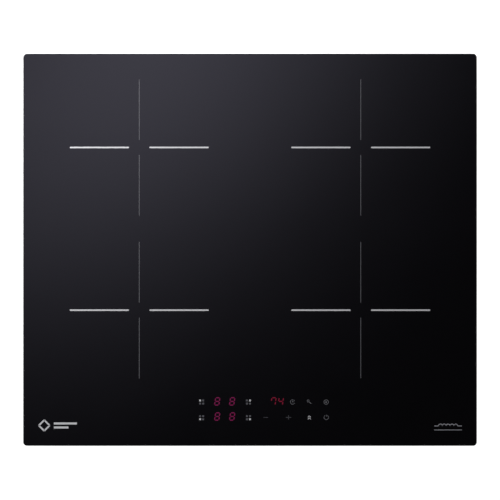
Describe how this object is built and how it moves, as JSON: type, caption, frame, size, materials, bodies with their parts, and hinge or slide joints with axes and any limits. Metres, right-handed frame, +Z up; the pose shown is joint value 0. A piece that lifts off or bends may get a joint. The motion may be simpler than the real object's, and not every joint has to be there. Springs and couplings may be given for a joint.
{
  "type": "induction hob",
  "caption": "Built-in black glass induction hob with cross-marked cooking zones and a front touch panel, over a stepped steel tray with coils, fans and worktop clamps.",
  "frame": {"origin": "under the middle of the steel tray, on its bottom face", "axes": "+X to the cook's right, +Y to the back, +Z up out of the glass; the touch controls are at the -Y edge"},
  "size_m": [0.59, 0.51, 0.058],
  "materials": {
    "black_glass": "polished black glass-ceramic",
    "seal_foam": "closed-cell foam tape",
    "galvanised_steel": "galvanised sheet",
    "spring_steel": "stamped spring steel",
    "zinc_screw": "zinc plated",
    "aluminium": "mill finish",
    "ferrite": "matt sintered",
    "copper_litz": "enamelled copper litz wire",
    "mica": "satin mica sheet",
    "sensor_rubber": "silicone cap",
    "black_plastic": "moulded",
    "white_plastic": "moulded",
    "grey_plastic": "moulded",
    "circuit_board": "lacquered fibreglass",
    "film_capacitor": "epoxy box",
    "choke_core": "coated ferrite ring"
  },
  "bodies": {
    "hob": {"glass_top": "black_glass", "worktop_seal": "seal_foam", "glass_frame": "galvanised_steel", "bottom_tray": "galvanised_steel", "coil_deck": "aluminium", "touch_board": "circuit_board", "touch_board_carrier": "black_plastic", "zone_display": "black_plastic", "timer_display": "black_plastic", "ribbon_cable": "grey_plastic", "terminal_box": "white_plastic", "terminal_block": "black_plastic", "cable_clamp": "black_plastic", "left_fan_housing": "black_plastic", "left_fan_motor": "grey_plastic", "left_power_board": "circuit_board", "left_heat_sink": "aluminium", "left_filter_choke": "choke_core", "left_film_capacitor": "film_capacitor", "right_fan_housing": "black_plastic", "right_fan_motor": "grey_plastic", "right_power_board": "circuit_board", "right_heat_sink": "aluminium", "right_filter_choke": "choke_core", "right_film_capacitor": "film_capacitor", "rear_left_coil_spring": "spring_steel", "rear_right_coil_spring": "spring_steel", "front_left_coil_spring": "spring_steel", "front_right_coil_spring": "spring_steel"},
    "rear_left_coil": {"rear_left_coil_carrier": "aluminium", "rear_left_ferrites": "ferrite", "rear_left_coil_winding": "copper_litz", "rear_left_mica_sheet": "mica", "rear_left_heat_sensor": "sensor_rubber"},
    "rear_right_coil": {"rear_right_coil_carrier": "aluminium", "rear_right_ferrites": "ferrite", "rear_right_coil_winding": "copper_litz", "rear_right_mica_sheet": "mica", "rear_right_heat_sensor": "sensor_rubber"},
    "front_left_coil": {"front_left_coil_carrier": "aluminium", "front_left_ferrites": "ferrite", "front_left_coil_winding": "copper_litz", "front_left_mica_sheet": "mica", "front_left_heat_sensor": "sensor_rubber"},
    "front_right_coil": {"front_right_coil_carrier": "aluminium", "front_right_ferrites": "ferrite", "front_right_coil_winding": "copper_litz", "front_right_mica_sheet": "mica", "front_right_heat_sensor": "sensor_rubber"},
    "left_impeller": {"left_fan_impeller": "white_plastic"},
    "right_impeller": {"right_fan_impeller": "white_plastic"},
    "terminal_lid": {"terminal_lid": "white_plastic"},
    "rear_left_clamp_screw": {"rear_left_clamp_screw": "zinc_screw"},
    "rear_left_clamp_bracket": {"rear_left_clamp_bracket": "galvanised_steel"},
    "rear_right_clamp_screw": {"rear_right_clamp_screw": "zinc_screw"},
    "rear_right_clamp_bracket": {"rear_right_clamp_bracket": "galvanised_steel"},
    "front_left_clamp_screw": {"front_left_clamp_screw": "zinc_screw"},
    "front_left_clamp_bracket": {"front_left_clamp_bracket": "galvanised_steel"},
    "front_right_clamp_screw": {"front_right_clamp_screw": "zinc_screw"},
    "front_right_clamp_bracket": {"front_right_clamp_bracket": "galvanised_steel"}
  },
  "joints": [
    {"name": "rear_left_coil_float", "type": "slide", "parent": "hob", "child": "rear_left_coil", "axis": [0, 0, 1], "range_m": [-0.003, 0], "stiffness_N_per_m": 2500, "springref_m": 0.008, "deforming": ["rear_left_coil_spring"]},
    {"name": "rear_right_coil_float", "type": "slide", "parent": "hob", "child": "rear_right_coil", "axis": [0, 0, 1], "range_m": [-0.003, 0], "stiffness_N_per_m": 2500, "springref_m": 0.008, "deforming": ["rear_right_coil_spring"]},
    {"name": "front_left_coil_float", "type": "slide", "parent": "hob", "child": "front_left_coil", "axis": [0, 0, 1], "range_m": [-0.003, 0], "stiffness_N_per_m": 2500, "springref_m": 0.008, "deforming": ["front_left_coil_spring"]},
    {"name": "front_right_coil_float", "type": "slide", "parent": "hob", "child": "front_right_coil", "axis": [0, 0, 1], "range_m": [-0.003, 0], "stiffness_N_per_m": 2500, "springref_m": 0.008, "deforming": ["front_right_coil_spring"]},
    {"name": "left_fan_spin", "type": "hinge", "parent": "hob", "child": "left_impeller", "pos_m": [-0.165, 0.17, 0.014], "axis": [0, 0, 1], "continuous": true},
    {"name": "right_fan_spin", "type": "hinge", "parent": "hob", "child": "right_impeller", "pos_m": [0.165, 0.17, 0.014], "axis": [0, 0, 1], "continuous": true},
    {"name": "terminal_lid_hinge", "type": "hinge", "parent": "hob", "child": "terminal_lid", "pos_m": [0, 0.1812, 0.0034], "axis": [-1, 0, 0], "range_deg": [0, 100]},
    {"name": "rear_left_clamp_tighten", "type": "slide", "parent": "hob", "child": "rear_left_clamp_screw", "axis": [0, 0, 1], "range_m": [0, 0.016]},
    {"name": "rear_left_clamp_swing", "type": "hinge", "parent": "rear_left_clamp_screw", "child": "rear_left_clamp_bracket", "pos_m": [-0.266, 0.15, 0.0073], "axis": [0, 0, -1], "range_deg": [0, 90]},
    {"name": "rear_right_clamp_tighten", "type": "slide", "parent": "hob", "child": "rear_right_clamp_screw", "axis": [0, 0, 1], "range_m": [0, 0.016]},
    {"name": "rear_right_clamp_swing", "type": "hinge", "parent": "rear_right_clamp_screw", "child": "rear_right_clamp_bracket", "pos_m": [0.266, 0.15, 0.0073], "axis": [0, 0, 1], "range_deg": [0, 90]},
    {"name": "front_left_clamp_tighten", "type": "slide", "parent": "hob", "child": "front_left_clamp_screw", "axis": [0, 0, 1], "range_m": [0, 0.016]},
    {"name": "front_left_clamp_swing", "type": "hinge", "parent": "front_left_clamp_screw", "child": "front_left_clamp_bracket", "pos_m": [-0.266, -0.15, 0.0073], "axis": [0, 0, 1], "range_deg": [0, 90]},
    {"name": "front_right_clamp_tighten", "type": "slide", "parent": "hob", "child": "front_right_clamp_screw", "axis": [0, 0, 1], "range_m": [0, 0.016]},
    {"name": "front_right_clamp_swing", "type": "hinge", "parent": "front_right_clamp_screw", "child": "front_right_clamp_bracket", "pos_m": [0.266, -0.15, 0.0073], "axis": [0, 0, -1], "range_deg": [0, 90]}
  ]
}
